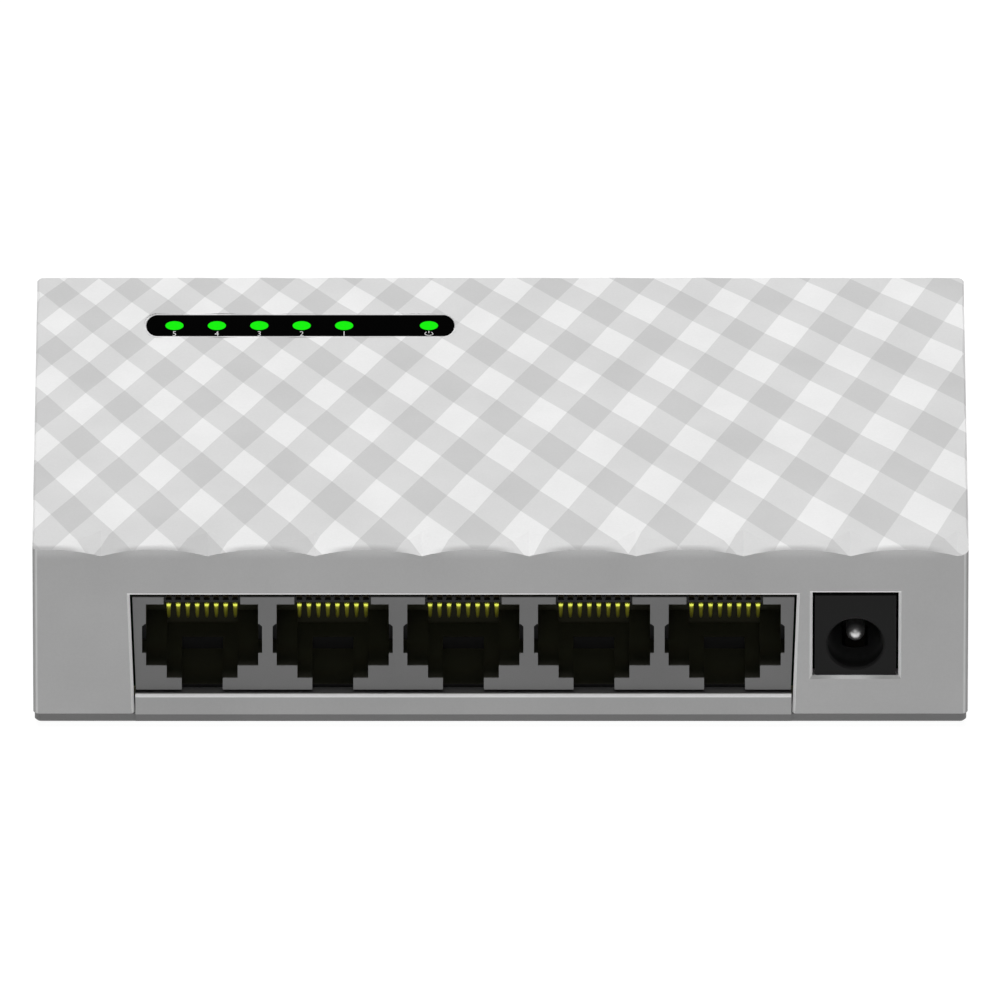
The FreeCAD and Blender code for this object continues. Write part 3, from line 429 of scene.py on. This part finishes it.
# ---------------------------------------------------------------- metals and lamps

def metal(name, colour, roughness, brushed=(1.0, 1.0, 1.0), size=0.15 * MM):
    """Bare or plated metal with fine scratches and a little uneven tarnish."""
    graph = Graph(name)
    scratch = graph.noise(size, 3.0, brushed)
    tarnish = graph.noise(1.6 * MM, 2.0)
    dull = tuple(part * 0.72 for part in colour)
    return graph.surface(
        Base_Color=graph.mix(graph.span(tarnish, 0.0, 0.6, start=0.35, end=0.8), colour, dull),
        Metallic=1.0,
        Roughness=graph.span(scratch, roughness - 0.06, roughness + 0.1, start=0.3, end=0.7),
        Normal=graph.bump(scratch, 0.001 * MM),
    )


def contact_material():
    """Gold plating, with a painted highlight on the front bend and painted shade further into the socket."""
    graph = Graph("contact_gold")
    _, y, z = graph.axes(graph.place)
    low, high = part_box("port_3_contacts")
    # bend: painted highlight where the front bend faces the light
    bend = graph.rise(z, high[2] - 0.75 * MM, high[2] - 0.3 * MM)
    painted_depth_shade = graph.rise(y, low[1] + 1.1 * MM, low[1] + 2.3 * MM)
    scratch = graph.noise(0.1 * MM, 2.0, (1.0, 6.0, 6.0))
    colour = graph.mix(bend, (0.52, 0.51, 0.055), (0.88, 0.94, 0.13))
    # painted shade: the dark colour further into the socket
    colour = graph.mix(painted_depth_shade, colour, (0.06, 0.045, 0.015))
    return graph.surface(
        Base_Color=colour,
        Metallic=1.0,
        Roughness=graph.span(scratch, 0.25, 0.45),
        Normal=graph.bump(scratch, 0.001 * MM),
    )


def lit_pipe_material():
    """Clear light pipes glowing green at their upper ends."""
    graph = Graph("light_pipe")
    _, _, facing_z = graph.true_normal()
    haze = graph.noise(0.3 * MM)
    strength = graph.product(graph.rise(facing_z, 0.7, 0.9), graph.span(haze, 0.92, 1.08))
    return graph.surface(
        Base_Color=graph.mix(haze, (0.002, 0.12, 0.002), (0.003, 0.16, 0.003)),
        Roughness=graph.span(haze, 0.18, 0.3),
        Specular_IOR_Level=0.25,
        Emission_Color=(0.005, 1.0, 0.0),
        Emission_Strength=graph.product(strength, 0.74),
    )


def lamp_material():
    graph = Graph("lamp_resin")
    low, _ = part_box("lamp_power")
    _, _, z = graph.axes(graph.place)
    resin = graph.rise(z, low[2] + 0.34 * MM, low[2] + 0.37 * MM)
    speck = graph.noise(0.1 * MM)
    return graph.surface(
        Base_Color=graph.mix(resin, graph.mix(speck, grey(0.5), grey(0.62)), (0.55, 0.8, 0.45)),
        Roughness=graph.span(speck, 0.25, 0.45),
        Normal=graph.bump(speck, 0.002 * MM),
    )


# ---------------------------------------------------------------- board and components

def board_material():
    """Green solder mask over faint tracks, with bare fibreglass on the cut edges."""
    graph = Graph("board_green")
    _, _, facing_z = graph.true_normal()
    flat = graph.rise(graph.math("ABSOLUTE", facing_z), 0.5, 0.6)
    x, _, _ = graph.axes(graph.place)
    wander = graph.product(graph.noise(14 * MM, 0.0), 9 * MM)
    lane = graph.math("PINGPONG", graph.math("ADD", x, wander), 0.7 * MM)
    track = graph.rise(lane, 0.38 * MM, 0.42 * MM)
    pour = graph.rise(graph.noise(11 * MM, 0.0), 0.5, 0.505)
    copper = graph.math("MAXIMUM", track, pour)
    mask = graph.mix(copper, (0.004, 0.07, 0.02), (0.012, 0.15, 0.04))
    weave = graph.cells(0.4 * MM)
    return graph.surface(
        Base_Color=graph.mix(flat, (0.32, 0.33, 0.16), mask),
        Roughness=graph.span(weave, 0.28, 0.42),
        Specular_IOR_Level=0.5,
        Normal=graph.bump(weave, 0.002 * MM, graph.bump(copper, 0.03 * MM)),
    )


def chip_material():
    """Black moulded packages; anything close to the board is a tinned lead."""
    graph = Graph("chip_epoxy")
    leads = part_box("circuit_board")[1][2] + 0.26 * MM
    _, _, z = graph.axes(graph.place)
    package = graph.rise(z, leads, leads + 0.01 * MM)
    speck = graph.noise(0.1 * MM, 3.0)
    tin = graph.mix(speck, grey(0.5), grey(0.7))
    epoxy = graph.mix(speck, (0.016, 0.016, 0.017), grey(0.03))
    return graph.surface(
        Base_Color=graph.mix(package, tin, epoxy),
        Metallic=graph.span(package, 1.0, 0.0),
        Roughness=graph.span(package, 0.3, 0.62),
        Normal=graph.bump(speck, 0.006 * MM),
    )


def can_material():
    """Aluminium can with a black stripe, on a black foot."""
    graph = Graph("capacitor_can")
    low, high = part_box("filter_capacitor_1")
    x, _, z = graph.axes(graph.place)
    can = graph.rise(z, low[2] + 0.48 * MM, low[2] + 0.52 * MM)
    brushed = graph.noise(0.12 * MM, 3.0, (1.0, 1.0, 8.0))
    top = graph.rise(z, high[2] - 0.05 * MM, high[2])
    stripe = graph.product(graph.rise(graph.math("PINGPONG", x, 3.75 * MM), 1.9 * MM, 2.0 * MM), top)
    metallic = graph.product(can, graph.span(stripe, 1.0, 0.0))
    return graph.surface(
        Base_Color=graph.mix(metallic, grey(0.015), graph.mix(brushed, grey(0.62), grey(0.8))),
        Metallic=metallic,
        Roughness=graph.span(brushed, 0.22, 0.4),
        Normal=graph.bump(brushed, 0.002 * MM),
    )


def ceramic_material():
    """Chip resistors and capacitors: ceramic in patches of tan and near black, with grey specks."""
    graph = Graph("chip_ceramic")
    speck = graph.noise(0.2 * MM, 3.0)
    tint = graph.noise(6 * MM, 0.0)
    tan = graph.mix(graph.rise(tint, 0.45, 0.55), (0.36, 0.25, 0.14), (0.06, 0.055, 0.05))
    return graph.surface(
        Base_Color=graph.mix(graph.product(speck, 0.4), tan, grey(0.5)),
        Roughness=graph.span(speck, 0.4, 0.6),
        Normal=graph.bump(speck, 0.003 * MM),
    )


# ---------------------------------------------------------------- pieces built here

def mesh_piece(name, build, material, body):
    """Makes an object from a function that fills a bmesh, and puts it on a body."""
    mesh = bpy.data.meshes.new(name)
    work = bmesh.new()
    build(work)
    bmesh.ops.recalc_face_normals(work, faces=work.faces)
    work.to_mesh(mesh)
    work.free()
    piece = bpy.data.objects.new(name, mesh)
    bpy.context.collection.objects.link(piece)
    mesh.materials.append(material)
    mesh.shade_smooth()
    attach(piece, body)
    return piece


def bezier(points, steps):
    """A smooth open line through the middle of each run, with each corner rounded."""
    ends = [points[0]] + [(a + b) / 2 for a, b in zip(points[1:-1], points[2:-1])] + [points[-1]]
    line = [points[0]]
    for start, corner, end in zip(ends, points[1:-1], ends[1:]):
        for step in range(1, steps + 1):
            t = step / steps
            line.append(start * (1 - t) ** 2 + corner * 2 * t * (1 - t) + end * t ** 2)
    return line


def sweep(work, line, width, thick, round_off, end_width):
    """Sweeps an eight-sided strip along a line in a plane of constant x; past its bend it narrows."""
    narrow_from, narrow_over = 0.28, 0.36
    rings = []
    for index, point in enumerate(line):
        before, after = line[max(index - 1, 0)], line[min(index + 1, len(line) - 1)]
        ahead = (after - before).normalized()
        up = Vector((0, -ahead.z, ahead.y))
        side = Vector((1, 0, 0))
        along = min(max(index / len(line) - narrow_from, 0.0) / narrow_over, 1.0)
        half_w, half_t = (width + (end_width - width) * along) / 2, thick / 2
        section = []
        for sx, sz in ((1, 1), (-1, 1), (-1, -1), (1, -1)):
            near, far = (half_w - round_off, half_t), (half_w, half_t - round_off)
            pair = (near, far) if sx * sz < 0 else (far, near)
            section += [side * (sx * a) + up * (sz * b) for a, b in pair]
        rings.append([work.verts.new(point + offset) for offset in section])
    for ring, following in zip(rings, rings[1:]):
        for k in range(len(ring)):
            after = (k + 1) % len(ring)
            work.faces.new((ring[k], ring[after], following[after], following[k]))
    work.faces.new(rings[0])
    work.faces.new(list(reversed(rings[-1])))


def contact_wires(port, material):
    """Eight gold wires: a round front bend, a slope down into the socket and a nearly level free end.

    The route gives each corner's distance behind the front bend and its height, in millimetres.
    """
    low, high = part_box(f"port_{port}_contacts")
    width = 0.5 * MM
    thick = 0.3 * MM
    pitch = (high[0] - low[0] - width) / (PINS - 1)
    front, top = low[1] + thick / 2, high[2] - thick / 2
    route = [(0.45, -0.02), (0.0, 0.02), (0.1, -0.4), (1.5, -2.35), (1.95, -2.8), (2.7, -2.87), (8.42, -2.95)]

    def build(work):
        for pin in range(PINS):
            x = low[0] + width / 2 + pin * pitch
            points = [Vector((x, front + y * MM, top + z * MM)) for y, z in route]
            sweep(work, bezier(points, 5), width, thick, 0.06 * MM, 0.26 * MM)

    piece = mesh_piece(f"port_{port}_contact_wires", build, material, f"port_{port}_spring")
    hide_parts(f"port_{port}_contacts")


def printed(name, x, y, build_curve, squeeze, material):
    """A flat printed mark on the indicator window's face, its width multiplied by squeeze."""
    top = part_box("indicator_window")[1][2]
    curve = build_curve(name)
    holder = bpy.data.objects.new(name + "_outline", curve)
    bpy.context.collection.objects.link(holder)
    bpy.context.view_layer.update()
    mesh = bpy.data.meshes.new_from_object(holder.evaluated_get(bpy.context.evaluated_depsgraph_get()))
    bpy.data.objects.remove(holder)
    xs = [vertex.co.x for vertex in mesh.vertices]
    ys = [vertex.co.y for vertex in mesh.vertices]
    middle = Vector(((min(xs) + max(xs)) / 2, (min(ys) + max(ys)) / 2, 0))
    for vertex in mesh.vertices:
        vertex.co -= middle
        vertex.co.x *= squeeze
        vertex.co += Vector((x, y, top + 0.004 * MM))
    mesh.materials.clear()
    mesh.materials.append(material)
    piece = bpy.data.objects.new(name, mesh)
    bpy.context.collection.objects.link(piece)
    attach(piece, "case")


def numeral(text):
    """A function that makes the outline of a numeral."""
    def build(name):
        curve = bpy.data.curves.new(name, "FONT")
        curve.body = text
        curve.size = 1.5 * MM
        curve.extrude = 0.003 * MM
        return curve
    return build


def power_mark(name):
    """A broken ring with an upright bar."""
    curve = bpy.data.curves.new(name, "CURVE")
    curve.dimensions = "3D"
    radius, gap, steps = 0.42 * MM, math.radians(38), 24
    angles = [gap + (2 * math.pi - 2 * gap) * step / steps for step in range(steps + 1)]
    ring = [(radius * math.sin(angle), radius * math.cos(angle)) for angle in angles]
    bar = [(0, 0.05 * MM), (0, 0.55 * MM)]
    for run in (ring, bar):
        spline = curve.splines.new("POLY")
        spline.points.add(len(run) - 1)
        for point, (px, py) in zip(spline.points, run):
            point.co = (px, py, 0, 1)
    curve.bevel_depth = 0.06 * MM
    curve.bevel_resolution = 2
    return curve


def window_marks():
    """A numeral by each port's lamp and a power mark by the last."""
    white = plain_plastic("mark_ink", grey(0.6), roughness=0.5, mottle=0.1)
    for lamp in LAMPS:
        low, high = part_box(f"light_pipe_{lamp}")
        x, y = (low[0] + high[0]) / 2, (low[1] + high[1]) / 2 - MARK_OFFSET
        outline, squeeze = (power_mark, 1.0) if lamp == "power" else (numeral(lamp[-1]), 0.62)
        printed(f"mark_{lamp}", x, y, outline, squeeze, white)


# ---------------------------------------------------------------- dressing the CAD nodes

def dress_nodes():
    """Gives each CAD node the material of its slot, and returns the materials."""
    slots = {
        "cover_plastic": cover_material(),
        "base_plastic": base_material(),
        "foot_rubber": rubber_material(),
        "screw_steel": metal("screw_steel", grey(0.5), 0.32, (1.0, 6.0, 1.0)),
        "label_paper": label_material(),
        "window_film": window_material(),
        "light_pipe": lit_pipe_material(),
        "lamp_resin": lamp_material(),
        "jack_plastic": jack_material(),
        "carrier_plastic": plain_plastic("carrier_plastic", grey(0.019), roughness=0.55, specular=0.15),
        "contact_gold": contact_material(),
        # dull bronze leads, darkened further as painted shade under the cover's opening
        "lead_bronze": metal("lead_bronze", (0.05, 0.04, 0.025), 0.5),
        # near-black spring bronze: painted shade on the spring contact inside the dark power socket
        "spring_bronze": metal("spring_bronze", (0.014, 0.012, 0.009), 0.6),
        "power_plastic": power_material(),
        "pin_metal": metal("pin_metal", grey(0.72), 0.36, (6.0, 1.0, 6.0)),
        "tag_metal": metal("tag_metal", grey(0.6, (1.0, 0.98, 0.93)), 0.35),
        "board_green": board_material(),
        "chip_epoxy": chip_material(),
        "crystal_can": metal("crystal_can", grey(0.7), 0.25, (6.0, 1.0, 1.0)),
        "capacitor_can": can_material(),
        "inductor_ferrite": plain_plastic("inductor_ferrite", grey(0.05), roughness=0.7, mottle=0.15),
        "chip_ceramic": ceramic_material(),
    }
    for entry in frame["record"]["subparts"]:
        mesh = frame["nodes"][entry["node"]].data
        mesh.materials.clear()
        mesh.materials.append(slots[entry["material_slot"]])
    return slots


# ---------------------------------------------------------------- stage, lights and camera

def make_floor():
    """A large white sheet that glows, so that the object stands on clean white; it is clear from below."""
    mesh = bpy.data.meshes.new("floor")
    half = 4.0
    corners = [(-half, -half, 0), (half, -half, 0), (half, half, 0), (-half, half, 0)]
    mesh.from_pydata(corners, [], [(0, 1, 2, 3)])
    floor = bpy.data.objects.new("floor", mesh)
    floor.location.z = -0.05 * MM
    bpy.context.collection.objects.link(floor)
    graph = Graph("floor")
    mesh.materials.append(graph.surface(
        Base_Color=grey(0.1),
        Roughness=0.9,
        Specular_IOR_Level=0.0,
        Emission_Color=(1.0, 1.0, 1.0),
        Emission_Strength=0.96,
    ))
    one_sided = graph.add("ShaderNodeMixShader")
    graph.feed(one_sided.inputs[0], graph.add("ShaderNodeNewGeometry").outputs["Backfacing"])
    graph.feed(one_sided.inputs[1], graph.shader.outputs[0])
    graph.feed(one_sided.inputs[2], graph.add("ShaderNodeBsdfTransparent").outputs[0])
    graph.feed(graph.nodes["Material Output"].inputs["Surface"], one_sided.outputs[0])


def make_lights():
    """A white studio that the camera sees at full strength, though it lights the object only faintly."""
    world = bpy.data.worlds.new("studio")
    world.use_nodes = True
    nodes = world.node_tree.nodes
    background = nodes["Background"]
    background.inputs["Color"].default_value = (1.0, 1.0, 1.0, 1.0)
    strength = nodes.new("ShaderNodeMapRange")
    strength.inputs["To Min"].default_value = 0.06
    strength.inputs["To Max"].default_value = 1.0
    seen = nodes.new("ShaderNodeLightPath").outputs["Is Camera Ray"]
    world.node_tree.links.new(seen, strength.inputs["Value"])
    world.node_tree.links.new(strength.outputs[0], background.inputs["Strength"])
    bpy.context.scene.world = world
    add_sun("overhead", 1.0, 32, (math.radians(-4), math.radians(-3), 0.0))
    add_sun("front_fill", 0.05, 20, (math.pi / 2 - ELEVATION, 0.0, 0.0))


def add_sun(name, strength, spread, rotation):
    """A sun that lights a facing white surface to the given strength."""
    sun = bpy.data.lights.new(name, "SUN")
    sun.energy = strength * math.pi
    sun.angle = math.radians(spread)
    lamp = bpy.data.objects.new(name, sun)
    lamp.rotation_euler = rotation
    bpy.context.collection.objects.link(lamp)


def make_camera():
    camera = bpy.data.cameras.new("camera")
    camera.lens = LENS
    camera.sensor_width = SENSOR
    camera.clip_end = 20.0
    eye = bpy.data.objects.new("camera", camera)
    distance = VIEW_WIDTH * LENS / SENSOR
    target = Vector((0, 0, VIEW_RISE / math.cos(ELEVATION)))
    eye.location = target + distance * Vector((0, -math.cos(ELEVATION), math.sin(ELEVATION)))
    eye.rotation_euler = (math.pi / 2 - ELEVATION, 0, 0)
    bpy.context.collection.objects.link(eye)
    bpy.context.scene.camera = eye


bpy.context.scene.view_settings.view_transform = "Standard"
materials = dress_nodes()
for port in PORTS:
    contact_wires(port, materials["contact_gold"])
window_marks()
make_floor()
make_lights()
make_camera()
